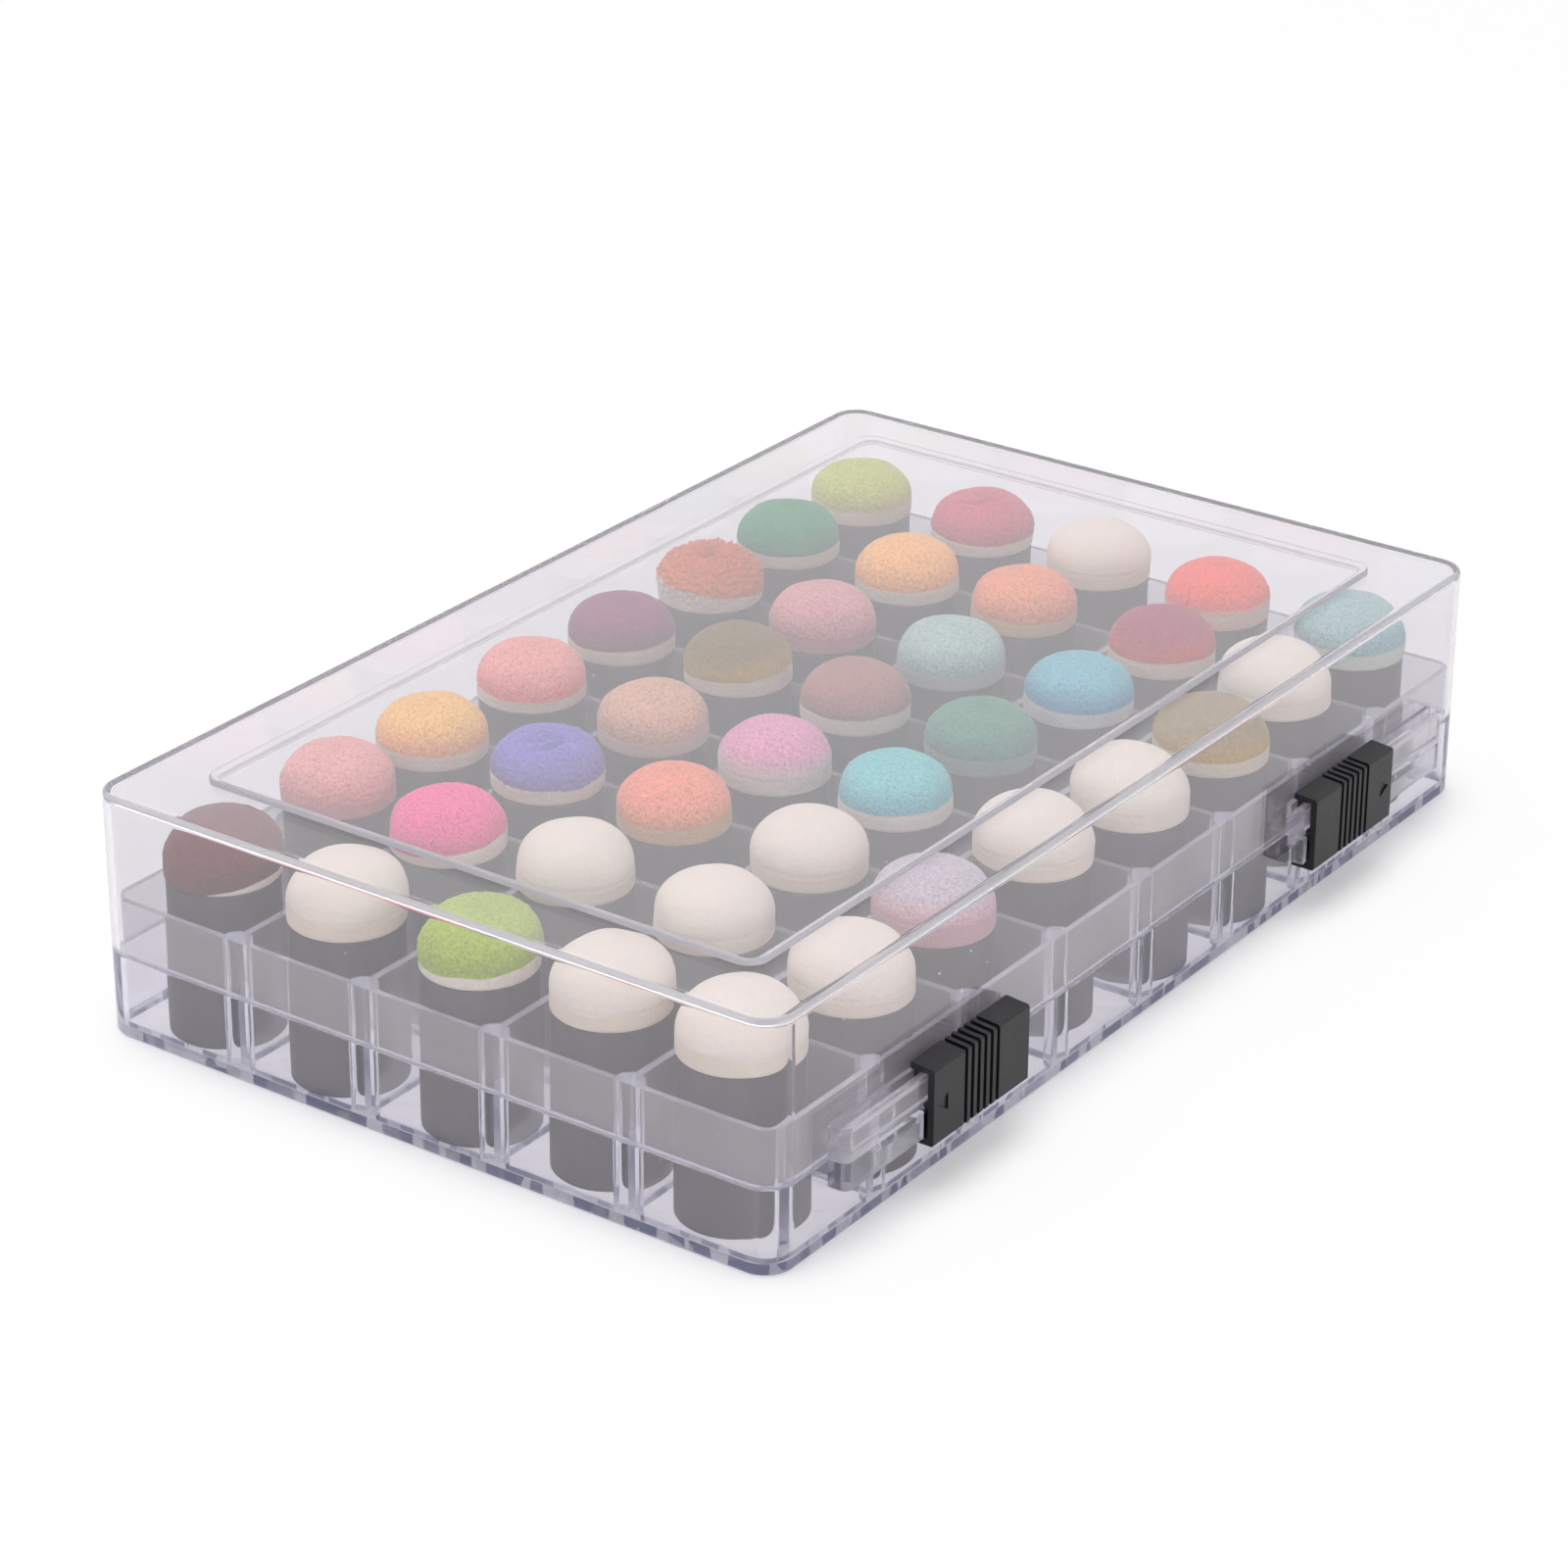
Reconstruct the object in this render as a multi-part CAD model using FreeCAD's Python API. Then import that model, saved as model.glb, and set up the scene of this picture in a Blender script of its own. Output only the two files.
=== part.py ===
import FreeCAD, Part
import math
import os

# Clear hinged box with a grid of square pockets, sponge-tipped finger daubers standing
# mouth-down in them, and two sliding latches on the front.
# Millimetres. X runs along the long side, -Y is the latch side, +Z is up, and the
# origin is the middle of the underside.

# Pocket grid
pockets_along = 8
pockets_across = 5
pitch = 29.4
divider = 1.5
pocket_corner = 2.0
post_r = 2.9

# Wall stack, from the outside in: lid skirt, play, tray upstand
skirt = 1.4
play = 0.75
upstand = 1.2

# Heights above the table
floor_top = 1.6
seam = 17.0
rim = 27.6
lid_top = 49.2
panel_rise = 1.2

# Outer form
corner = 6.0
foot_round = 1.0
seam_round = 0.3
lid_edge_round = 1.0
lid_inner_round = 0.8
lid_plate = 1.6
panel_margin = 14.2
panel_corner = 4.0
panel_edge_round = 0.5

# Latches: a slider on a lid rail, and a hooked rail on the tray. Depths are
# measured outwards from the wall.
latch_centre = 65.8
slider_length = 30.0
slider_bottom = 10.0
slider_top = 25.4
slider_back = 0.6
slider_front = 5.6
slider_plate = 1.3
slider_foot_chamfer = 0.3
slider_brow_chamfer = 0.4
slide_travel = 14.0
slide_gap = 0.3
rail_depth = 4.0
rail_top = 23.8
rail_out = 104.5
rail_end_round = 1.6
lug_length = 1.6
groove_near = 1.0
groove_far = 2.6
groove_depth = 1.6
rebate_height = 1.5
rebate_depth = 0.8
seam_gap = 0.2
hook_leg = 2.1
hook_web = 2.3
hook_bottom = 11.7
hook_lead = 0.7
stop_clearance = 0.6
lip_height = 2.7
lip_thick = 0.9
grip_grooves = 6
grip_pitch = 2.0
grip_width = 1.0
grip_depth = 0.55
arrow_length = 3.0
arrow_height = 3.4
arrow_depth = 0.35
arrow_margin = 1.4
arrow_level = 17.5

# Hinges on the back wall, opposite the latches
hinge_centre = 65.8
hinge_reach = 3.0
knuckle_r = 2.6
hinge_bore_r = 1.05
pin_r = 1.0
pin_chamfer = 0.25
lid_knuckle = 12.0
tray_knuckle = 6.5
knuckle_gap = 0.3
gusset = 6.0

# Finger daubers
tube_r = 10.5
tube_height = 31.0
tube_wall = 1.5
tube_cap = 1.6
tube_bore_top_r = 8.4
tube_chamfer = 0.4
sponge_r = 10.8
sponge_band = 3.2
sponge_shoulder_r = 6.0
sponge_height = 10.8

# Where each loose dauber stands off its pocket's middle, to the half millimetre as X and Y,
# a row at a time along X, from the hinge side to the latch side.
standing = {
    "a": [(-2.5, -1.5), (-3, -2), (-3, -3), (-1.5, -1.5), (-1.5, 1)],
    "b": [(2, 0.5), (-1.5, 0.5), (0, 1.5), (-0.5, -0.5), (-3, -2)],
    "c": [(-1, -0.5), (0.5, 2), (1, 2), (0, 0), (-2.5, 1)],
    "d": [(1.5, 0.5), (-0.5, -1.5), (-0.5, -1), (0.5, 1.5), (0, 0.5)],
    "e": [(0.5, 0), (2, 1.5), (1, 2), (0, 1.5), (-1.5, -3)],
    "f": [(2.5, 1), (-0.5, 0), (0, -1.5), (0, -2), (-1.5, -3)],
    "g": [(1.5, 1.5), (0.5, 0), (1, 1), (0, -3), (-1.5, 0)],
    "h": [(0.5, 2.5), (1.5, 1.5), (1, 1.5), (-2, 0.5), (-1, 0)],
}

# How far cutting shapes run past the faces that they open
overshoot = 1.0

wall_stack = skirt + play + upstand
length = pockets_along * pitch - divider + 2 * wall_stack
width = pockets_across * pitch - divider + 2 * wall_stack
front = -width / 2
back = width / 2
slider_inner = latch_centre - slider_length / 2
slider_outer = latch_centre + slider_length / 2
hook_start = slider_outer + hook_lead
stop_start = slider_outer + slide_travel + stop_clearance
hinge_y = back + hinge_reach
hinge_z = seam
pin_span = lid_knuckle + 2 * knuckle_gap + 2 * tray_knuckle


def prism(outline, height):
    face = Part.Face(Part.Wire(outline))
    return face.extrude(FreeCAD.Vector(0, 0, height))


def rounded_slab(size_x, size_y, radius, low, high, x=0.0, y=0.0):
    # Upright block with rounded vertical corners, centred on x, y.
    hx = size_x / 2
    hy = size_y / 2
    diagonal = radius * (1 - math.sqrt(0.5))

    def at(px, py):
        return FreeCAD.Vector(x + px, y + py, low)

    edges = [
        Part.LineSegment(at(radius - hx, -hy), at(hx - radius, -hy)),
        Part.Arc(at(hx - radius, -hy), at(hx - diagonal, diagonal - hy), at(hx, radius - hy)),
        Part.LineSegment(at(hx, radius - hy), at(hx, hy - radius)),
        Part.Arc(at(hx, hy - radius), at(hx - diagonal, hy - diagonal), at(hx - radius, hy)),
        Part.LineSegment(at(hx - radius, hy), at(radius - hx, hy)),
        Part.Arc(at(radius - hx, hy), at(diagonal - hx, hy - diagonal), at(-hx, hy - radius)),
        Part.LineSegment(at(-hx, hy - radius), at(-hx, radius - hy)),
        Part.Arc(at(-hx, radius - hy), at(diagonal - hx, diagonal - hy), at(radius - hx, -hy)),
    ]
    return prism([edge.toShape() for edge in edges], high - low)


def block(x0, x1, y0, y1, z0, z1):
    return Part.makeBox(x1 - x0, y1 - y0, z1 - z0, FreeCAD.Vector(x0, y0, z0))


def bar(profile, x0, x1):
    # A closed profile of (y, z) points, carried along X.
    points = [FreeCAD.Vector(x0, y, z) for y, z in profile]
    face = Part.Face(Part.makePolygon(points + points[:1]))
    return face.extrude(FreeCAD.Vector(x1 - x0, 0, 0))


def front_bar(profile, x0, x1):
    # The same, with depths measured outwards from the front wall.
    return bar([(front - depth, z) for depth, z in profile], x0, x1)


def round_edges(solid, radius, level):
    # Rounds every edge that lies flat at one height.
    edges = [e for e in solid.Edges if max(abs(v.Z - level) for v in e.Vertexes) < 1e-6]
    return solid.makeFillet(radius, edges)


def mirrored(shape):
    return shape.mirror(FreeCAD.Vector(0, 0, 0), FreeCAD.Vector(1, 0, 0))


def both_sides(shapes):
    return shapes + [mirrored(shape) for shape in shapes]


def pocket_middle(column, row):
    x = (column - (pockets_along - 1) / 2) * pitch
    y = ((pockets_across - 1) / 2 - row) * pitch
    return x, y


def rail_end(low, high):
    # Plan of a front rail, from the wall out, with its outer end rounded off.
    x0 = slider_inner - slide_gap - lug_length
    wall = front + skirt / 2
    face = front - rail_depth
    r = rail_end_round
    diagonal = r * (1 - math.sqrt(0.5))

    def at(x, y):
        return FreeCAD.Vector(x, y, low)

    edges = [
        Part.LineSegment(at(x0, wall), at(x0, face)),
        Part.LineSegment(at(x0, face), at(rail_out - r, face)),
        Part.Arc(at(rail_out - r, face), at(rail_out - diagonal, face + diagonal), at(rail_out, face + r)),
        Part.LineSegment(at(rail_out, face + r), at(rail_out, wall)),
        Part.LineSegment(at(rail_out, wall), at(x0, wall)),
    ]
    return prism([edge.toShape() for edge in edges], high - low)


def lid_rail():
    # A bar with a groove along its top for the slider's rib, and a rebate under its front
    # edge for the slider's ridge. The rebate ends where the slider stops.
    rail = rail_end(seam + seam_gap, rail_top)
    groove_floor = rail_top - groove_depth
    above = rail_top + overshoot
    groove = front_bar([(groove_near, groove_floor), (groove_far, groove_floor), (groove_far, above),
                        (groove_near, above)], 0, rail_out + overshoot)
    rebate_top = seam + seam_gap + rebate_height
    rebate_in = rail_depth - rebate_depth
    outside = rail_depth + overshoot
    rebate = front_bar([(rebate_in, seam), (outside, seam), (outside, rebate_top), (rebate_in, rebate_top)],
                       0, stop_start)
    return rail.cut(groove).cut(rebate)


def tray_rail():
    # A lug at the inner end, a gap where the slider can lift out, a hooked run that the
    # slider's lip slides behind, and a solid stop at the outer end.
    rail = rail_end(hook_bottom, seam)
    lift_gap = block(slider_inner - slide_gap, hook_start, front - rail_depth - overshoot, front,
                     0, seam + overshoot)
    behind_leg = block(0, stop_start, front - rail_depth + hook_leg, front, 0, seam - hook_web)
    return rail.cut(lift_gap).cut(behind_leg)


def slider():
    plate_in = slider_front - slider_plate
    rib_near = groove_near + slide_gap
    rib_far = groove_far - slide_gap
    rib_low = rail_top - groove_depth + slide_gap
    roof = rail_top + slide_gap
    ridge_top = seam + seam_gap + rebate_height - slide_gap
    ridge_low = seam + slide_gap
    ridge_in = rail_depth - rebate_depth + slide_gap
    shelf = slider_bottom + slider_plate
    lip_near = rail_depth - hook_leg - slide_gap - lip_thick
    lip_far = lip_near + lip_thick
    brow = slider_top - slider_brow_chamfer
    profile = [
        (slider_front - slider_foot_chamfer, slider_bottom),
        (slider_front, slider_bottom + slider_foot_chamfer), (slider_front, brow - slider_brow_chamfer),
        (slider_front - slider_brow_chamfer, brow), (slider_back, slider_top),
        (slider_back, roof), (rib_near, roof), (rib_near, rib_low),
        (rib_far, rib_low), (rib_far, roof), (plate_in, roof), (plate_in, ridge_top),
        (ridge_in, ridge_top), (ridge_in, ridge_low), (plate_in, ridge_low), (plate_in, shelf),
        (lip_far, shelf), (lip_far, shelf + lip_height), (lip_near, shelf + lip_height),
        (lip_near, slider_bottom),
    ]
    body = front_bar(profile, slider_inner, slider_outer)
    cuts = []
    for k in range(grip_grooves):
        x = latch_centre + (k - (grip_grooves - 1) / 2) * grip_pitch
        x0 = x - grip_width / 2
        x1 = x + grip_width / 2
        outside = front - slider_front - overshoot
        above = slider_top + overshoot
        cuts.append(block(x0, x1, outside, front - slider_front + grip_depth, 0, above))
        cuts.append(block(x0, x1, outside, front, brow - grip_depth, above))
    tip = slider_outer - arrow_margin
    face = front - slider_front + arrow_depth
    corners = [(tip, 0), (tip - arrow_length, arrow_height / 2), (tip - arrow_length, -arrow_height / 2)]
    points = [FreeCAD.Vector(x, face, arrow_level + z) for x, z in corners]
    arrow = Part.Face(Part.makePolygon(points + points[:1]))
    cuts.append(arrow.extrude(FreeCAD.Vector(0, -arrow_depth - overshoot, 0)))
    return body.cut(cuts)


def knuckle(x0, x1, rises):
    # A hinge barrel with a gusset to the back wall, rising up the lid or down the tray.
    side = 1 if rises else -1
    root = seam + side * seam_gap
    crown = seam + side * knuckle_r
    barrel = Part.makeCylinder(knuckle_r, x1 - x0, FreeCAD.Vector(x0, hinge_y, hinge_z), FreeCAD.Vector(1, 0, 0))
    inside = back - skirt / 2
    arm = bar([(inside, root), (hinge_y, root), (hinge_y, crown), (inside, crown + side * gusset)], x0, x1)
    return barrel.fuse(arm)


def hinge_bore():
    reach = pin_span + 2 * overshoot
    start = FreeCAD.Vector(hinge_centre - reach / 2, hinge_y, hinge_z)
    return Part.makeCylinder(hinge_bore_r, reach, start, FreeCAD.Vector(1, 0, 0))


def wall_posts():
    # Half-round posts inside the outer wall, one at each end of every divider.
    reach_x = (pockets_along * pitch - divider) / 2
    reach_y = (pockets_across * pitch - divider) / 2
    places = []
    for k in range(1, pockets_along):
        x = (k - pockets_along / 2) * pitch
        places += [(x, -reach_y), (x, reach_y)]
    for k in range(1, pockets_across):
        y = (k - pockets_across / 2) * pitch
        places += [(-reach_x, y), (reach_x, y)]
    inside = block(-reach_x, reach_x, -reach_y, reach_y, 0, rim)
    height = rim - floor_top
    posts = [Part.makeCylinder(post_r, height, FreeCAD.Vector(x, y, floor_top)) for x, y in places]
    return [post.common(inside) for post in posts]


def tray():
    base = round_edges(rounded_slab(length, width, corner, 0, seam), foot_round, 0)
    base = round_edges(base, seam_round, seam)
    inset = skirt + play
    collar = rounded_slab(length - 2 * inset, width - 2 * inset, corner - inset, seam, rim)
    body = base.fuse(collar)
    opening = pitch - divider
    pockets = []
    for column in range(pockets_along):
        for row in range(pockets_across):
            x, y = pocket_middle(column, row)
            pockets.append(rounded_slab(opening, opening, pocket_corner, floor_top, rim + overshoot, x, y))
    body = body.cut(pockets).fuse(wall_posts())
    near = hinge_centre - lid_knuckle / 2 - knuckle_gap
    far = hinge_centre + lid_knuckle / 2 + knuckle_gap
    fittings = [tray_rail(), knuckle(near - tray_knuckle, near, False), knuckle(far, far + tray_knuckle, False)]
    body = body.fuse(both_sides(fittings))
    return body.cut(both_sides([hinge_bore()])).removeSplitter()


def lid():
    shell = round_edges(rounded_slab(length, width, corner, seam, lid_top), lid_edge_round, lid_top)
    shell = round_edges(shell, seam_round, seam)
    panel_x = length - 2 * panel_margin
    panel_y = width - 2 * panel_margin
    panel_top = lid_top + panel_rise
    panel = rounded_slab(panel_x, panel_y, panel_corner, lid_top - lid_plate, panel_top)
    shell = shell.fuse(round_edges(panel, panel_edge_round, panel_top))
    ceiling = lid_top - lid_plate
    hollow = rounded_slab(length - 2 * skirt, width - 2 * skirt, corner - skirt, seam - overshoot, ceiling)
    hollow = round_edges(hollow, lid_inner_round, ceiling)
    under_panel = rounded_slab(panel_x - 2 * lid_plate, panel_y - 2 * lid_plate, panel_corner - lid_plate,
                               ceiling - overshoot, ceiling + panel_rise)
    shell = shell.cut([hollow, under_panel])
    half = lid_knuckle / 2
    fittings = both_sides([lid_rail(), knuckle(hinge_centre - half, hinge_centre + half, True)])
    shell = shell.fuse([fitting.cut(hollow) for fitting in fittings])
    return shell.cut(both_sides([hinge_bore()])).removeSplitter()


def hinge_pin():
    start = FreeCAD.Vector(hinge_centre - pin_span / 2, hinge_y, hinge_z)
    pin = Part.makeCylinder(pin_r, pin_span, start, FreeCAD.Vector(1, 0, 0))
    rims = [edge for edge in pin.Edges if len(edge.Vertexes) == 1]
    return pin.makeChamfer(pin_chamfer, rims)


def tube():
    # Finger cap, standing mouth-down: a closed top, a slightly tapered bore and broken edges.
    c = tube_chamfer
    ceiling = tube_height - tube_cap
    profile = [
        (tube_r - tube_wall, 0), (tube_r - c, 0), (tube_r, c), (tube_r, tube_height - c),
        (tube_r - c, tube_height), (0, tube_height), (0, ceiling), (tube_bore_top_r, ceiling),
    ]
    points = [FreeCAD.Vector(r, 0, z) for r, z in profile]
    return turned(Part.makePolygon(points + points[:1]))


def sponge():
    # Foam tip: a straight band, a round shoulder and a crown that meets it without a break.
    shoulder_x = sponge_r - sponge_shoulder_r
    dome = sponge_height - sponge_band
    crown_r = (shoulder_x ** 2 + dome ** 2 - sponge_shoulder_r ** 2) / (2 * (dome - sponge_shoulder_r))
    crown_z = sponge_height - crown_r
    meet = math.atan2(sponge_band - crown_z, shoulder_x)

    def shoulder(angle):
        return FreeCAD.Vector(shoulder_x + sponge_shoulder_r * math.cos(angle), 0,
                              sponge_band + sponge_shoulder_r * math.sin(angle))

    def crown(angle):
        return FreeCAD.Vector(crown_r * math.cos(angle), 0, crown_z + crown_r * math.sin(angle))

    top = math.pi / 2
    edges = [
        Part.LineSegment(FreeCAD.Vector(0, 0, 0), FreeCAD.Vector(sponge_r, 0, 0)),
        Part.LineSegment(FreeCAD.Vector(sponge_r, 0, 0), shoulder(0)),
        Part.Arc(shoulder(0), shoulder(meet / 2), shoulder(meet)),
        Part.Arc(shoulder(meet), crown((meet + top) / 2), crown(top)),
        Part.LineSegment(crown(top), FreeCAD.Vector(0, 0, 0)),
    ]
    return turned(Part.Wire([edge.toShape() for edge in edges]))


def turned(profile):
    return Part.Face(profile).revolve(FreeCAD.Vector(0, 0, 0), FreeCAD.Vector(0, 0, 1), 360)


def dauber_places():
    # Name, and the middle of the foot, of every dauber.
    places = {}
    for column, letter in enumerate(standing):
        for row, (dx, dy) in enumerate(standing[letter]):
            x, y = pocket_middle(column, row)
            places[letter, row + 1] = FreeCAD.Vector(x + dx, y + dy, floor_top)
    return places


def moved(shape, place):
    copy = shape.copy()
    copy.translate(place)
    return copy


def build():
    right_slider = slider()
    right_pin = hinge_pin()
    nodes = {
        "tray": tray(),
        "lid": lid(),
        "latch_slider_left": mirrored(right_slider),
        "latch_slider_right": right_slider,
        "hinge_pin_left": mirrored(right_pin),
        "hinge_pin_right": right_pin,
    }
    one_tube = tube()
    one_sponge = sponge()
    seat = FreeCAD.Vector(0, 0, tube_height)
    places = dauber_places()
    for letter in standing:
        stand = [place for (row, number), place in places.items() if row == letter]
        nodes["finger_tubes_row_" + letter] = Part.makeCompound([moved(one_tube, place) for place in stand])
    for (letter, number), place in places.items():
        nodes["sponge_%s%d" % (letter, number)] = moved(one_sponge, place + seat)
    return nodes


os.makedirs("parts", exist_ok=True)
for name, shape in build().items():
    shape.exportStep("parts/%s.step" % name)
print("Box %.1f by %.1f by %.1f mm" % (length, width, lid_top + panel_rise))
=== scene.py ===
import bpy
import math
import numpy as np
from mathutils import Matrix, Vector


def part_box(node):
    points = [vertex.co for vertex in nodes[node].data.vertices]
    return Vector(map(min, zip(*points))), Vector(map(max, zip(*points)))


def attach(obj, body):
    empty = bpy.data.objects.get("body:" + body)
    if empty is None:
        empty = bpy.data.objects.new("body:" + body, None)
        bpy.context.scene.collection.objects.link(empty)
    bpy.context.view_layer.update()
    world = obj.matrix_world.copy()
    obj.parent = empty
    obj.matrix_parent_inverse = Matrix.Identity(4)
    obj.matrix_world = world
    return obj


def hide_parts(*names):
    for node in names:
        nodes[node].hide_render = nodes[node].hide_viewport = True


# Clear pocket box of foam-tipped finger daubers: finishes for the moulded pieces, and the foam tips
# themselves. Metres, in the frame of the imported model.

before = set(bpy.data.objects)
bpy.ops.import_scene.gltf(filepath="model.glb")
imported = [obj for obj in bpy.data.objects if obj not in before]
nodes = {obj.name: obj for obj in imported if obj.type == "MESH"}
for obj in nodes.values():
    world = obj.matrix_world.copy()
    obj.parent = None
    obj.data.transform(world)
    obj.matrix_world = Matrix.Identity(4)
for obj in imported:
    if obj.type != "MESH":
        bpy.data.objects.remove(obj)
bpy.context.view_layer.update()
mm = 0.001
print("frame loaded:", len(nodes), "nodes")


class Wire:
    # A socket of a shader tree. Arithmetic between wires and numbers adds Math nodes.
    def __init__(self, tree, socket=None):
        self.tree = tree
        self.socket = socket

    def node(self, kind, settings=None, inputs=None, output=0):
        # Adds any shader node: its settings first, then the values or links of its inputs.
        made = self.tree.nodes.new("ShaderNode" + kind)
        for key, value in (settings or {}).items():
            setattr(made, key, value)
        for key, value in (inputs or {}).items():
            if isinstance(value, Wire):
                self.tree.links.new(value.socket, made.inputs[key])
            else:
                made.inputs[key].default_value = value
        return Wire(self.tree, made.outputs[output] if made.outputs else None)

    def output(self, name):
        return Wire(self.tree, self.socket.node.outputs[name])

    def maths(self, operation, *values):
        return self.node("Math", {"operation": operation}, dict(enumerate(values)))

    def __add__(self, other):
        return self.maths("ADD", self, other)

    __radd__ = __add__

    def __mul__(self, other):
        return self.maths("MULTIPLY", self, other)

    __rmul__ = __mul__

    def __sub__(self, other):
        return self.maths("SUBTRACT", self, other)

    def __rsub__(self, other):
        return self.maths("SUBTRACT", other, self)

    def largest(self, other):
        return self.maths("MAXIMUM", self, other)

    def size(self):
        return self.maths("ABSOLUTE", self)

    def part(self, axis):
        return self.node("SeparateXYZ", {}, {"Vector": self}, axis)

    def near(self, level, reach):
        # 1 at the level, 0 further off than the reach.
        return 1 - (self - level).size().between(0.5 * reach, reach)

    def between(self, low, high):
        # 0 below low, 1 above high, smooth in the middle.
        inputs = {"Value": self, "From Min": low, "From Max": high}
        return self.node("MapRange", {"interpolation_type": "SMOOTHSTEP"}, inputs)

    def blend(self, first, second):
        # This wire says how much of the second colour shows.
        return self.node("Mix", {"data_type": "RGBA"}, {0: self, 6: first, 7: second}, output=2)

    def times(self, other):
        # Both wires are colours.
        settings = {"data_type": "RGBA", "blend_type": "MULTIPLY"}
        return self.node("Mix", settings, {0: 1.0, 6: self, 7: other}, output=2)

    def noise(self, scale, detail=2.0):
        # This wire is the place that the pattern is read at. Scale counts features in a metre.
        return self.node("TexNoise", {}, {"Vector": self, "Scale": scale, "Detail": detail})

    def cells(self, scale, output="Distance"):
        return self.node("TexVoronoi", {}, {"Vector": self, "Scale": scale}, output)

    def stretched(self, x, y, z):
        return self.node("Mapping", {}, {"Vector": self, "Scale": (x, y, z)})

    def bump(self, distance, strength=1.0):
        # This wire is a height from 0 to 1, which stands for a distance in metres.
        return self.node("Bump", {}, {"Height": self, "Distance": distance, "Strength": strength})

    def mixed(self, first, second):
        # This wire says how much of the second shader shows.
        return self.node("MixShader", {}, {0: self, 1: first, 2: second})


def tone(red, green, blue):
    # A screen colour, 0 to 255, as a shader socket takes it.
    values = np.array([red, green, blue]) / 255
    linear = np.where(values <= 0.04045, values / 12.92, ((values + 0.055) / 1.055) ** 2.4)
    return (*linear.tolist(), 1.0)


def newFinish(name):
    # A material, and the wire of places on the piece that its patterns are read at.
    material = bpy.data.materials.new(name)
    material.use_nodes = True
    material.node_tree.nodes.clear()
    return material, Wire(material.node_tree).node("TexCoord", output="Object")


def coatWith(place, shader, inside=None):
    inputs = {"Surface": shader}
    if inside:
        inputs["Volume"] = inside
    place.node("OutputMaterial", {}, inputs)


def paint(piece, material):
    piece.data.materials.clear()
    piece.data.materials.append(material)


# Clear moulded styrene of the tray and the lid

styrene = dict(
    tint=tone(248, 246, 249),
    shadowTint=tone(226, 224, 229),
    clearness=0.94,         # the rest is a milky veil
    polish=0.012,
    scuff=0.05,
    scuffs=240,
    ior=1.57,
    waviness=0.00003,
    waves=28,
    deepTint=(0.6, 0.6, 0.8, 1),
    trayDepth=35.0,         # how fast a long way through the plastic turns blue
    lidDepth=6.0,
    flat=(0.95, 0.98),      # a face that points up or down by more than this is flat
    # Painted highlights: a pale matt and translucent colour on the lid's rounded edges and step, on the
    # divider tops and on the seam's rounded edges, standing in for the light they catch.
    edgeHighlight=tone(232, 231, 237),
    edgeShare=0.8,
    edgeBand=2.3 * mm,      # below the top of the lid's panel
    lineHighlight=tone(250, 250, 253),
    lineShare=0.2,          # of the tops of the dividers and the rounded edges at the seam
    milkiness=0.6,          # share of the light on the pale places that comes through them
    trayVeil=0.1,           # of the collar, which rubs in the lid
    lidVeil=0.0,
    frost=0.12,             # of the latch rails
    frostShare=0.06,
    # Painted refraction round the foot: its height, its dark and pale colours and its patches.
    footHeight=2.8 * mm,
    footPaintedDark=tone(70, 72, 110),
    footPaintedPale=tone(200, 200, 216),
    footPatches=330,
)


def lidEdges(height, upward):
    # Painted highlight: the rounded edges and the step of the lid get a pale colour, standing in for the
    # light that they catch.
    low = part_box("lid")[1][2] - styrene["edgeBand"]
    flat = upward.size().between(*styrene["flat"])
    return height.between(low, low + 0.2 * mm) * (1 - flat)


def brightLines(height, upward):
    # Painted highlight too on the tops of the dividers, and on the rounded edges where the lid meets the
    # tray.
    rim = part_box("tray")[1][2]
    tops = height.near(rim, 0.1 * mm) * upward.between(*styrene["flat"])
    seam = height.near(seamLevel(), 0.5 * mm) * upward.size().between(0.1, 0.3)
    return tops.largest(seam)


def seamLevel():
    # The hinge pins lie level with the seam.
    low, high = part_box("hinge_pin_left")
    return (low[2] + high[2]) / 2


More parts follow.
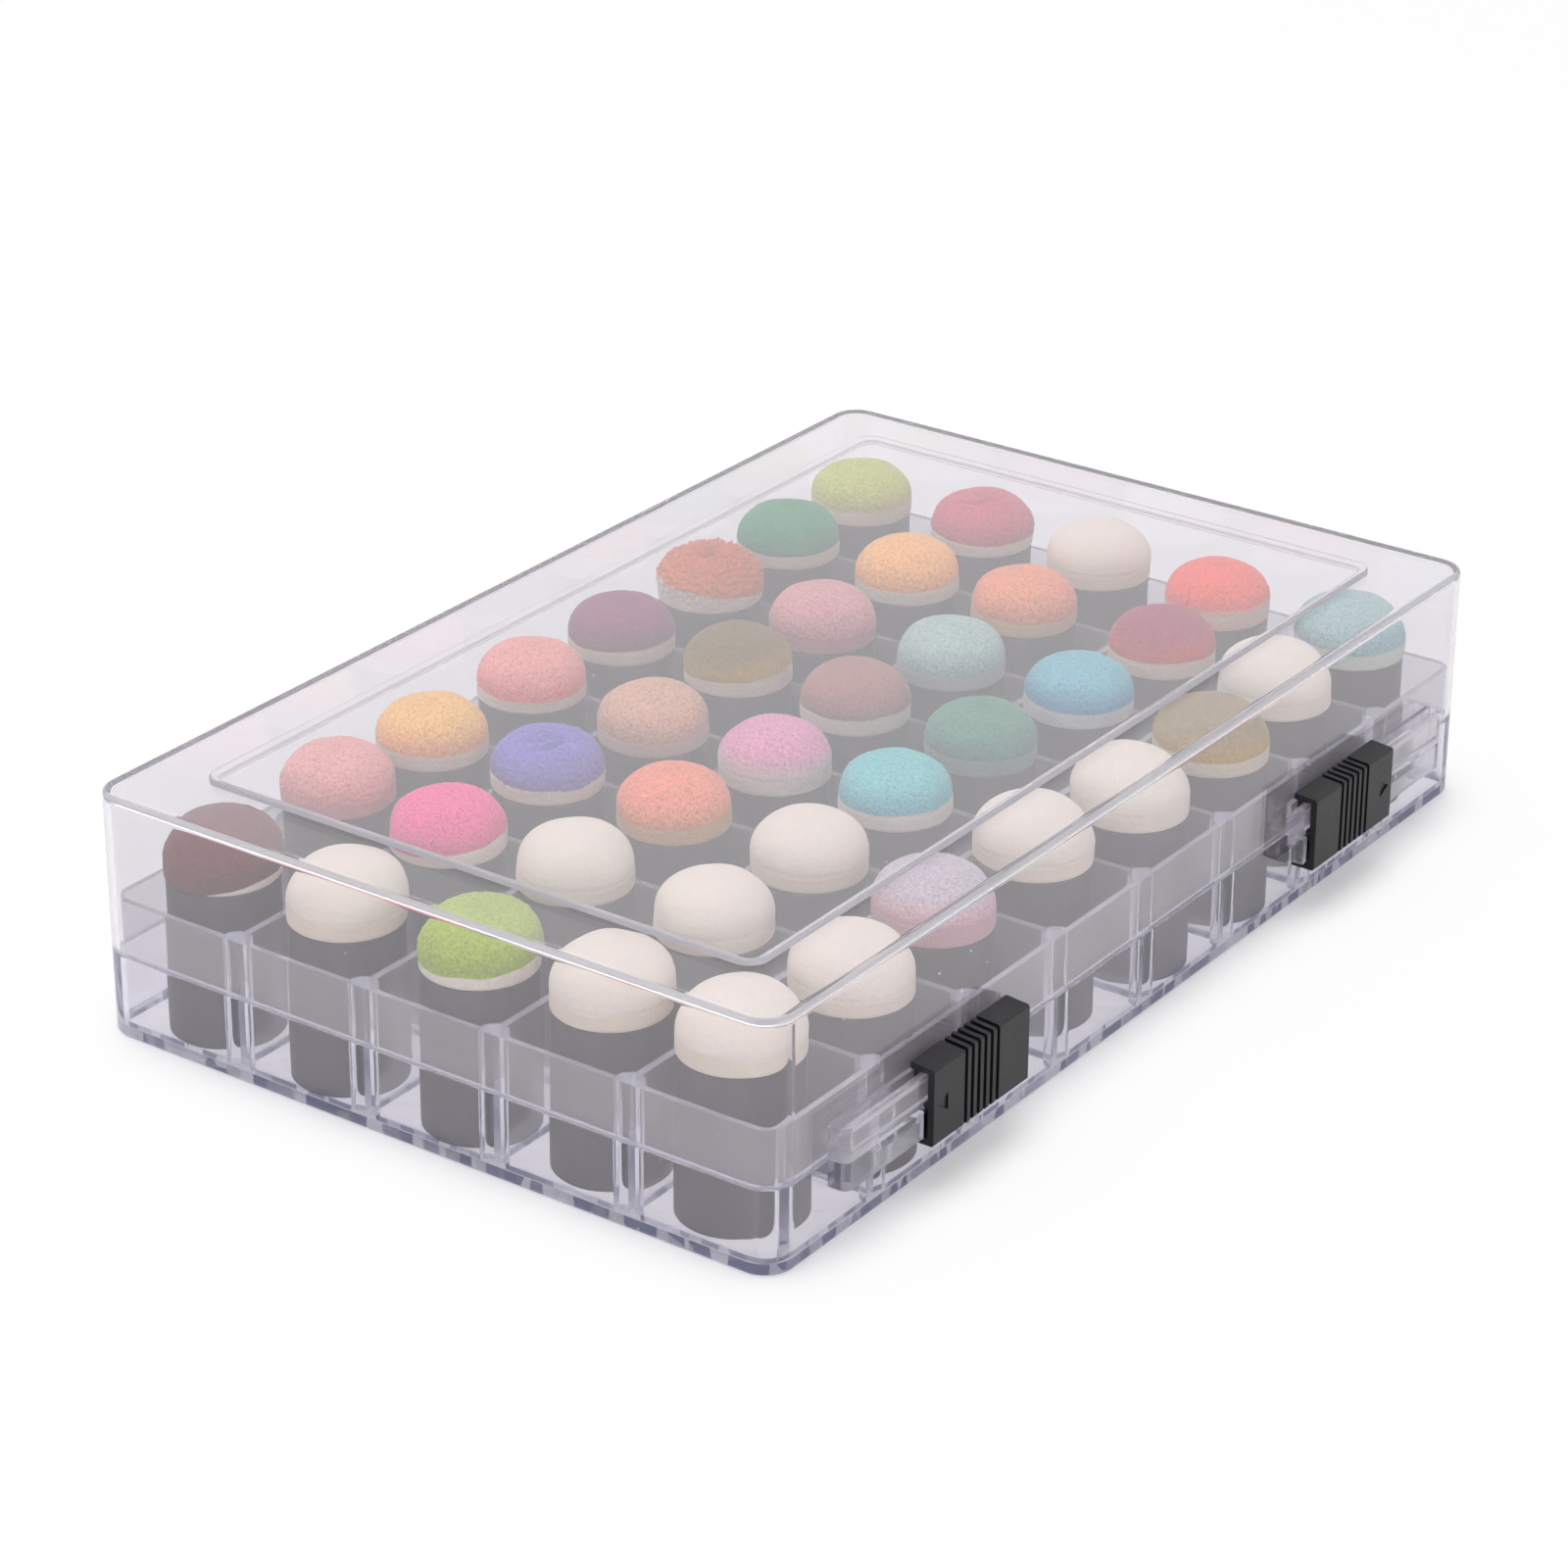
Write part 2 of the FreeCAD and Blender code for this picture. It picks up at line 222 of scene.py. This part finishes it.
def clearStyrene(part):
    material, place = newFinish("clear" + part.title())
    height = place.part("Z")
    upward = place.output("Normal").part("Z")
    scuffs = place.stretched(1, 1, 3).noise(styrene["scuffs"], 4).between(0.62, 0.78)
    ripple = place.noise(styrene["waves"], 1).bump(styrene["waviness"])
    # The latch rails stand proud of the front wall, and are frosted by the sliders.
    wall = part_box("latch_slider_left")[1][1]
    rails = 1 - place.part("Y").between(wall - 0.2 * mm, wall + 0.6 * mm)
    # Painted refraction: dark and pale patches painted round the foot stand in for the light that runs
    # along inside the floor and comes out there.
    patches = place.stretched(1, 1, 0.2).cells(styrene["footPatches"], "Color").part("X")
    paintedFootRefraction = patches.between(0.2, 0.9).blend(styrene["footPaintedDark"], styrene["footPaintedPale"])
    foot = 1 - height.between(styrene["footHeight"] - 0.3 * mm, styrene["footHeight"])
    foot = foot * (1 - upward.size().between(0.6, 0.8))
    glass = place.node("BsdfPrincipled", {}, {
        "Base Color": foot.blend(styrene["tint"], paintedFootRefraction),
        "Roughness": styrene["polish"] + scuffs * styrene["scuff"] + rails * styrene["frost"],
        "IOR": styrene["ior"],
        "Transmission Weight": styrene["clearness"],
        "Normal": ripple,
    })
    edges = lidEdges(height, upward)
    lines = brightLines(height, upward)
    collar = height.between(seamLevel(), seamLevel() + 0.2 * mm)
    # Painted highlights on the edges and lines, real frost on the rails and rubbing on the collar all mix
    # in the same pale colour.
    share = (edges * styrene["edgeShare"]).largest(lines * styrene["lineShare"])
    share = share.largest(rails * styrene["frostShare"]).largest(collar * styrene[part + "Veil"])
    highlightAndFrostColour = edges.blend(styrene["lineHighlight"], styrene["edgeHighlight"])
    matt = place.node("BsdfDiffuse", {}, {"Color": highlightAndFrostColour})
    milky = place.node("BsdfTranslucent", {}, {"Color": highlightAndFrostColour})
    pale = place.node("MixShader", {}, {0: styrene["milkiness"], 1: matt, 2: milky})
    # Lamps shine through the box, so that the daubers inside are lit, and less so below the seam.
    shadowRay = place.node("LightPath", output="Is Shadow Ray")
    aboveSeam = height.between(seamLevel() - 2 * mm, seamLevel() + 2 * mm)
    shadow = aboveSeam.blend(styrene["shadowTint"], styrene["tint"])
    through = place.node("BsdfTransparent", {}, {"Color": shadow})
    depth = {"Color": styrene["deepTint"], "Density": styrene[part + "Depth"]}
    deep = place.node("VolumeAbsorption", {}, depth)
    coatWith(place, shadowRay.mixed(share.mixed(glass, pale), through), deep)
    return material


# Finger tubes: dull charcoal plastic with faint drawn lines and a little dust

tubes = dict(
    shade=tone(60, 50, 61),
    paler=tone(74, 62, 76),
    lines=900,
    patches=130,
    roughness=0.5,
    dust=tone(214, 210, 212),
    specks=420,
    clean=0.93,             # share of the specks that don't show
)


def charcoalTube():
    material, place = newFinish("charcoalTube")
    drawn = place.stretched(1, 1, 0.06).noise(tubes["lines"], 2)
    patches = place.noise(tubes["patches"], 3)
    body = (drawn * 0.6 + patches * 0.4).between(0.3, 0.7).blend(tubes["shade"], tubes["paler"])
    speck = 1 - place.cells(tubes["specks"]).between(0.05, 0.16)
    chosen = place.cells(tubes["specks"], "Color").part("X")
    dusty = speck * chosen.between(tubes["clean"], tubes["clean"] + 0.01)
    shader = place.node("BsdfPrincipled", {}, {
        "Base Color": dusty.blend(body, tubes["dust"]),
        "Roughness": tubes["roughness"] + patches * 0.14,
        "IOR": 1.5,
        "Normal": drawn.bump(0.00003, 0.6),
    })
    coatWith(place, shader)
    return material


# Latch sliders: black satin nylon

nylon = dict(
    shade=tone(10, 9, 13),
    paler=tone(19, 18, 23),
    clouds=160,
    grain=2600,
    roughness=0.36,
)


def blackNylon():
    material, place = newFinish("blackNylon")
    grain = place.noise(nylon["grain"], 3)
    cloud = place.noise(nylon["clouds"], 3)
    shader = place.node("BsdfPrincipled", {}, {
        "Base Color": cloud.between(0.35, 0.75).blend(nylon["shade"], nylon["paler"]),
        "Roughness": nylon["roughness"] + grain * 0.16,
        "IOR": 1.5,
        "Normal": grain.bump(0.00004, 0.7),
    })
    coatWith(place, shader)
    return material


# Hinge pins: drawn steel wire

pins = dict(
    shade=tone(176, 176, 180),
    paler=tone(206, 206, 208),
    lines=4200,
    roughness=0.22,
)


def drawnSteel():
    material, place = newFinish("drawnSteel")
    lines = place.stretched(0.05, 1, 1).noise(pins["lines"], 2)
    shader = place.node("BsdfPrincipled", {}, {
        "Base Color": lines.blend(pins["shade"], pins["paler"]),
        "Metallic": 1.0,
        "Roughness": pins["roughness"] + lines * 0.18,
        "Normal": lines.bump(0.00002, 0.5),
    })
    coatWith(place, shader)
    return material


# Foam tips: cream latex foam, most of them stained by ink. Each ink has the colour of the crown,
# of the stain's edge, and of the band below it. Reach is how far the stain's edge lies above the
# seam, as a share of the dome, and soft is how softly it ends.

cream = (244, 233, 219)


def ink(crown, edge, band, **more):
    return dict(crown=tone(*crown), edge=tone(*edge), band=tone(*band), **more)


inks = {
    # The plain band is a little darker and warmer than the cream: painted shade, for the shade low on the
    # tip.
    "plain": ink(crown=cream, edge=cream, band=(240, 225, 206)),
    "maroon": ink(crown=(112, 46, 52), edge=(92, 38, 42), band=cream, reach=-0.5),
    "lime": ink(crown=(168, 192, 56), edge=(156, 186, 46), band=cream, reach=-0.12),
    "dustyRose": ink(crown=(236, 158, 150), edge=(230, 140, 138), band=(216, 136, 134)),
    "hotPink": ink(crown=(250, 74, 150), edge=(240, 70, 138), band=cream, reach=-0.1),
    "amber": ink(crown=(250, 190, 86), edge=(250, 166, 92), band=(228, 208, 196)),
    "periwinkle": ink(crown=(118, 108, 202), edge=(110, 98, 188), band=(232, 216, 200)),
    "peach": ink(crown=(248, 138, 104), edge=(240, 146, 100), band=(222, 176, 124)),
    "lilac": ink(crown=(196, 184, 196), edge=(222, 170, 182), band=(210, 160, 168), soft=0.3),
    "salmon": ink(crown=(242, 148, 140), edge=(246, 112, 114), band=(232, 212, 200), reach=-0.06),
    "beige": ink(crown=(216, 164, 134), edge=(210, 160, 136), band=(212, 182, 170)),
    "orchid": ink(crown=(228, 144, 182), edge=(222, 164, 184), band=(226, 210, 204), soft=0.45),
    "aqua": ink(crown=(104, 200, 202), edge=(84, 184, 200), band=(228, 220, 212)),
    "plum": ink(crown=(138, 54, 98), edge=(118, 52, 90), band=(220, 204, 190)),
    "olive": ink(crown=(120, 98, 36), edge=(178, 138, 26), band=(226, 206, 192)),
    "brown": ink(crown=(168, 112, 104), edge=(156, 104, 98), band=(222, 210, 200)),
    "seaGreen": ink(crown=(78, 146, 122), edge=(62, 126, 120), band=(128, 150, 148)),
    "terracotta": ink(crown=(214, 102, 52), edge=(232, 118, 50), band=(232, 216, 202)),
    "mauve": ink(crown=(216, 146, 150), edge=(208, 134, 142), band=(196, 126, 134)),
    "mist": ink(crown=(164, 194, 184), edge=(150, 184, 188), band=(166, 180, 180)),
    "sky": ink(crown=(96, 184, 200), edge=(40, 146, 192), band=(206, 208, 210)),
    "taupe": ink(crown=(148, 126, 84), edge=(180, 140, 44), band=(214, 200, 176)),
    "emerald": ink(crown=(0, 138, 92), edge=(8, 126, 92), band=(216, 206, 182)),
    "apricot": ink(crown=(254, 180, 92), edge=(250, 168, 88), band=(226, 214, 202)),
    "rust": ink(crown=(244, 142, 98), edge=(232, 136, 92), band=(222, 182, 140)),
    "crimson": ink(crown=(162, 22, 74), edge=(206, 26, 40), band=(228, 206, 190)),
    "yellowGreen": ink(crown=(188, 198, 78), edge=(192, 188, 92), band=(226, 212, 194), soft=0.2),
    "raspberry": ink(crown=(208, 72, 100), edge=(198, 70, 94), band=(230, 214, 204), reach=-0.06),
    "coral": ink(crown=(254, 76, 52), edge=(252, 82, 62), band=(234, 196, 178), soft=0.22),
    "seaMist": ink(crown=(146, 184, 184), edge=(130, 174, 180), band=(196, 204, 194)),
}

# From the hinge side to the latch side, a row at a time along the box.
inkLayout = {
    "a": ["maroon", "plain", "lime", "plain", "plain"],
    "b": ["dustyRose", "hotPink", "plain", "plain", "plain"],
    "c": ["amber", "periwinkle", "peach", "plain", "lilac"],
    "d": ["salmon", "beige", "orchid", "aqua", "plain"],
    "e": ["plum", "olive", "brown", "seaGreen", "plain"],
    "f": ["terracotta", "mauve", "mist", "sky", "taupe"],
    "g": ["emerald", "apricot", "rust", "crimson", "plain"],
    "h": ["yellowGreen", "raspberry", "plain", "coral", "seaMist"],
}

foam = dict(
    pores=1750,
    grain=1450,
    blotches=190,
    plainDepth=0.00012,     # of the pores, as relief
    plainShade=0.14,        # how much darker they are
    dyedDepth=0.0004,
    dyedShade=0.95,
    stainSoft=0.05,
    stainGrain=0.06,        # how far grain and blotches fray the stain's edge
    stainBlotch=0.05,
    roughness=0.88,
)


def latexFoam(name):
    # The piece's own stain attribute runs from below 0 on the band to 1 at the crown.
    recipe = inks[name]
    material, place = newFinish("foam" + name[0].upper() + name[1:])
    pores = place.cells(foam["pores"])
    grain = place.noise(foam["grain"], 3)
    blotch = place.noise(foam["blotches"], 3)
    depth = place.node("Attribute", {"attribute_name": "stain"}, output="Fac")
    fray = (grain - 0.5) * foam["stainGrain"] + (blotch - 0.5) * foam["stainBlotch"]
    ragged = depth + fray - recipe.get("reach", 0)
    inked = ragged.between(0, recipe.get("soft", foam["stainSoft"]))
    colour = inked.blend(recipe["band"], ragged.between(0.1, 0.75).blend(recipe["edge"], recipe["crown"]))
    # Partly painted shade: pores are darker, standing in for the shade in them, and ink shows them up and
    # takes unevenly.
    kind = "plain" if name == "plain" else "dyed"
    contrast = inked * (foam[kind + "Shade"] - foam["plainShade"]) + foam["plainShade"]
    filled = pores.between(0.05, 0.5) * 0.5 + grain.between(0.3, 0.7) * 0.3 + blotch * 0.2
    shade = (filled - 0.6) * contrast + 0.96
    grey = shade.node("CombineColor", {}, {0: shade, 1: shade, 2: shade})
    height = grain * 0.5 + pores * 0.5
    shader = place.node("BsdfPrincipled", {}, {
        "Base Color": colour.times(grey),
        "Roughness": foam["roughness"] + grain * 0.1,
        "IOR": 1.4,
        "Sheen Weight": 0.15,
        "Normal": height.bump(foam[kind + "Depth"], 0.9),
    })
    coatWith(place, shader)
    return material


tips = dict(
    around=128,
    underRings=5,
    bandRings=10,
    domeRings=40,
    bandShare=0.296,        # of the tip's height
    plainHeight=1.03,       # of the height of the solid
    dyedHeight=0.97,
    domePower=2.28,         # 2 is an ellipse, more is squarer
    seamDepth=0.16 * mm,
    seamWidth=0.22 * mm,
    lip=0.5 * mm,           # rounding of the glued edge
    lumps=0.12 * mm,
    lumpLength=9 * mm,
    plainGrain=0.015 * mm,
    dyedGrain=0.06 * mm,
    grainLength=1.3 * mm,
    stainWobble=0.012,      # of the stain's edge, as a share of the dome
    wobbleLength=7 * mm,
    lean=0.05,
    crackDepth=1.6 * mm,
    crackWidth=0.65 * mm,
    crackWander=0.5 * mm,
    crackBends=1.1 * mm,
    crackReach=0.45,        # of the radius
)

# Tips that are worn or unevenly dyed: how far their grain stands out, the direction of each crack with
# its distance from the axis as a share of the radius, and how far the stain's edge leans, as a share
# of the dome, with the direction in which it is highest. Directions are in degrees from the X axis.
oddTips = {
    "a1": dict(lean=0.3, facing=-80),
    "a3": dict(grain=0.09 * mm, lean=0.1, facing=-60),
    "b2": dict(lean=0.16, facing=-60),
    "c2": dict(grain=0.16 * mm, cracks=[(-26, -0.44), (-42, -0.2)]),
    "e2": dict(lean=0.12, facing=-60),
    "e4": dict(grain=0.12 * mm),
    "f1": dict(grain=0.32 * mm, cracks=[(-54, -0.25), (10, -0.1)], lean=0.25, facing=150),
    "h2": dict(grain=0.10 * mm, cracks=[(-50, -0.3)]),
}


def ripples(points, wavelength, count, draw):
    # Smooth random field: the mean of waves in random directions, each with its own phase.
    directions = draw.normal(size=(count, 3))
    directions *= 2 * np.pi / wavelength / np.linalg.norm(directions, axis=1, keepdims=True)
    phases = draw.uniform(0, 2 * np.pi, count)
    return np.sin(points @ directions.T + phases).mean(axis=1) * math.sqrt(count)


def tipProfile(radius, height):
    # Outline of a tip from the middle of its underside to its top, as radius and height:
    # a flat disc, a band with a rounded foot and a thin seam, and a superellipse dome.
    band = height * tips["bandShare"]
    lip = tips["lip"]
    under = np.linspace(0, radius - lip, tips["underRings"])[1:]
    turn = np.linspace(0, np.pi / 2, 4)[1:]
    wall = np.linspace(lip, band, tips["bandRings"])[1:]
    rise = np.linspace(0, np.pi / 2, tips["domeRings"])[1:-1]
    power = 2 / tips["domePower"]
    r = np.concatenate([
        under,
        radius - lip + lip * np.sin(turn),
        np.full_like(wall, radius),
        radius * np.cos(rise) ** power,
    ])
    z = np.concatenate([
        np.zeros_like(under),
        lip - lip * np.cos(turn),
        wall,
        band + (height - band) * np.sin(rise) ** power,
    ])
    seam = np.exp(-((z - band) / tips["seamWidth"]) ** 2)
    return r - tips["seamDepth"] * seam, z


def foamTip(key, low, high, kind, draw):
    # The profile turned round the tip's axis, with random lumps and grain pushed along the
    # outward direction, and one point each for the middle of the underside and the top.
    middle = (low + high) / 2
    radius = (high[0] - low[0]) / 2
    height = (high[2] - low[2]) * tips[kind + "Height"]
    band = height * tips["bandShare"]
    odd = oddTips.get(key, {})
    grain = odd.get("grain", tips[kind + "Grain"])
    r, z = tipProfile(radius, height)
    angle = np.linspace(0, 2 * np.pi, tips["around"], endpoint=False)
    ring = np.stack([np.cos(angle), np.sin(angle), np.zeros_like(angle)], axis=1)
    points = ring[None, :, :] * r[:, None, None]
    points[:, :, 2] = z[:, None]
    points = points.reshape(-1, 3)
    points = np.concatenate([points, [[0, 0, 0], [0, 0, height]]])
    outward = points - [0, 0, band]
    outward[:, 2] *= 0.8
    outward /= np.linalg.norm(outward, axis=1, keepdims=True)
    above = np.clip((points[:, 2] - 0.2 * band) / band, 0, 1)
    push = tips["lumps"] * ripples(points, tips["lumpLength"], 10, draw)
    push += grain * ripples(points, tips["grainLength"], 24, draw)
    push += grain * draw.normal(size=len(points)) * 0.5
    for direction, offset in odd.get("cracks", []):
        push -= crack(points, height, radius, math.radians(direction), offset * radius)
    facing = math.radians(odd.get("facing", draw.uniform(0, 360)))
    sideways = (points[:, 0] * math.cos(facing) + points[:, 1] * math.sin(facing)) / radius
    stain = (points[:, 2] - band) / (height - band) - odd.get("lean", tips["lean"]) * sideways
    stain += tips["stainWobble"] * ripples(points, tips["wobbleLength"], 8, draw)
    points += outward * (push * above)[:, None]
    return points + [middle[0], middle[1], low[2]], stain


def crack(points, height, radius, turn, offset):
    # A short groove across the crown, deepest in the middle, with a wandering line.
    along = points[:, 0] * math.cos(turn) + points[:, 1] * math.sin(turn)
    across = points[:, 1] * math.cos(turn) - points[:, 0] * math.sin(turn)
    line = offset + tips["crackWander"] * np.sin(along / tips["crackBends"])
    fade = np.exp(-(along / (tips["crackReach"] * radius)) ** 2) * (points[:, 2] > 0.55 * height)
    return tips["crackDepth"] * fade * np.exp(-((across - line) / tips["crackWidth"]) ** 2)


def tipFaces():
    # Quads between neighbouring rings, and a fan of triangles at each end.
    around = tips["around"]
    rings = len(tipProfile(1, 1)[0])
    here = np.arange(around)
    beside = np.roll(here, -1)
    row = (np.arange(rings - 1) * around)[:, None]
    quads = np.stack([row + here, row + beside, row + around + beside, row + around + here], axis=2)
    bottom = np.stack([np.full(around, rings * around), beside, here], axis=1)
    last = (rings - 1) * around
    top = np.stack([np.full(around, rings * around + 1), last + here, last + beside], axis=1)
    return quads.reshape(-1, 4).tolist() + bottom.tolist() + top.tolist()


def makeTips():
    foams = {name: latexFoam(name) for name in inks}
    faces = tipFaces()
    for row, (letter, names) in enumerate(inkLayout.items()):
        for number, name in enumerate(names, start=1):
            key = letter + str(number)
            node = "sponge_" + key
            low, high = (np.array(corner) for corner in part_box(node))
            draw = np.random.default_rng(10 * row + number)
            kind = "plain" if name == "plain" else "dyed"
            points, stain = foamTip(key, low, high, kind, draw)
            mesh = bpy.data.meshes.new("foamTip." + key)
            mesh.from_pydata(points, [], faces)
            depths = mesh.attributes.new("stain", "FLOAT", "POINT")
            depths.data.foreach_set("value", stain.astype(np.float32))
            mesh.polygons.foreach_set("use_smooth", np.ones(len(mesh.polygons), bool))
            piece = bpy.data.objects.new("foamTip." + key, mesh)
            bpy.context.collection.objects.link(piece)
            paint(piece, foams[name])
            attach(piece, "tray")
            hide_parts(node)


makeTips()
print("foam tips made")

finishes = {
    "tray": clearStyrene("tray"),
    "lid": clearStyrene("lid"),
    "latch_slider": blackNylon(),
    "hinge_pin": drawnSteel(),
    "finger_tubes": charcoalTube(),
}
for name, piece in nodes.items():
    for start, material in finishes.items():
        if name.startswith(start):
            paint(piece, material)
print("finishes given to the moulded pieces")


# Studio: white floor and surroundings, an overhead softbox a little behind, and a fill

studio = dict(
    sky=0.65,               # of white, as light on the object
    floorSize=8.0,
    floorShade=tone(254, 254, 255),
    floorGlow=0.9,          # share of the floor that is white to the camera
    floorGlowNear=0.2,      # the same where the box stands on it
    floorGlowThrough=0.05,  # the same, seen mirrored or through the box
    shadowReach=14 * mm,
    boxPlace=(-0.15, 0.35, 1.1),
    boxSize=1.3,
    boxPower=6.5,
    fillPlace=(-0.9, -0.9, 0.7),
    fillSize=0.9,
    fillPower=3.2,
)


def seenThrough(path):
    # 1 for what is seen mirrored or through clear plastic.
    return path.output("Is Glossy Ray").largest(path.output("Is Transmission Ray"))


def whiteSurroundings():
    world = bpy.data.worlds.new("whiteSurroundings")
    world.use_nodes = True
    world.node_tree.nodes.clear()
    start = Wire(world.node_tree)
    path = start.node("LightPath", output="Is Camera Ray")
    strength = studio["sky"] + path.largest(seenThrough(path)) * (1 - studio["sky"])
    light = start.node("Background", {}, {"Color": (1, 1, 1, 1), "Strength": strength})
    start.node("OutputWorld", {}, {"Surface": light})
    bpy.context.scene.world = world


def whiteFloor():
    half = studio["floorSize"] / 2
    corners = [(-half, -half, 0), (half, -half, 0), (half, half, 0), (-half, half, 0)]
    mesh = bpy.data.meshes.new("floor")
    mesh.from_pydata(corners, [], [(0, 1, 2, 3)])
    floor = bpy.data.objects.new("floor", mesh)
    bpy.context.collection.objects.link(floor)
    material, place = newFinish("whiteFloor")
    matt = place.node("BsdfDiffuse", {}, {"Color": studio["floorShade"]})
    white = place.node("Emission", {}, {"Color": (1, 1, 1, 1), "Strength": 1.0})
    path = place.node("LightPath", output="Is Camera Ray")
    # Close to the box the white gives way to the floor's own shade, which holds the shadow.
    reach = {"Distance": studio["shadowReach"]}
    clear = place.node("AmbientOcclusion", {"samples": 16}, reach, output="AO")
    near = studio["floorGlowNear"]
    glowHere = clear.between(0.4, 1.0) * (studio["floorGlow"] - near) + near
    glow = (path * glowHere).largest(seenThrough(path) * studio["floorGlowThrough"])
    coatWith(place, glow.mixed(matt, white))
    paint(floor, material)


def softbox(name, place, size, power):
    lamp = bpy.data.lights.new(name, "AREA")
    lamp.size = size
    lamp.energy = power
    holder = bpy.data.objects.new(name, lamp)
    holder.location = place
    holder.rotation_euler = (-Vector(place)).to_track_quat("-Z", "Y").to_euler()
    bpy.context.collection.objects.link(holder)


whiteSurroundings()
whiteFloor()
softbox("overhead", studio["boxPlace"], studio["boxSize"], studio["boxPower"])
softbox("fill", studio["fillPlace"], studio["fillSize"], studio["fillPower"])
print("studio lit")


# Camera: it looks at the near corner from above, turned a little about its own axis

shot = dict(
    azimuth=-54.57,
    elevation=25.56,
    roll=0.298,
    distance=0.9081,
    across=0.00618,         # of the frame's middle from the box's middle
    up=-0.0228,
    lens=106.81,
    sensor=36.0,
    bounces=96,             # light passes many clear walls before it leaves the box
    mirrorings=48,
)


def photoCamera():
    turn = math.radians(shot["azimuth"])
    tilt = math.radians(shot["elevation"])
    roll = math.radians(shot["roll"])
    back = Vector((math.sin(turn) * math.cos(tilt), -math.cos(turn) * math.cos(tilt), math.sin(tilt)))
    level = Vector((math.cos(turn), math.sin(turn), 0))
    upright = back.cross(level)
    right = level * math.cos(roll) + upright * math.sin(roll)
    above = upright * math.cos(roll) - level * math.sin(roll)
    place = back * shot["distance"] - right * shot["across"] - above * shot["up"]
    data = bpy.data.cameras.new("camera")
    data.lens = shot["lens"]
    data.sensor_width = shot["sensor"]
    camera = bpy.data.objects.new("camera", data)
    camera.matrix_world = Matrix.Translation(place) @ Matrix((right, above, back)).transposed().to_4x4()
    bpy.context.collection.objects.link(camera)
    bpy.context.scene.camera = camera


photoCamera()
scene = bpy.context.scene
scene.view_settings.view_transform = "Standard"
scene.cycles.max_bounces = shot["bounces"]
scene.cycles.glossy_bounces = shot["mirrorings"]
scene.cycles.transmission_bounces = shot["bounces"]
scene.cycles.transparent_max_bounces = shot["bounces"]
print("camera set")
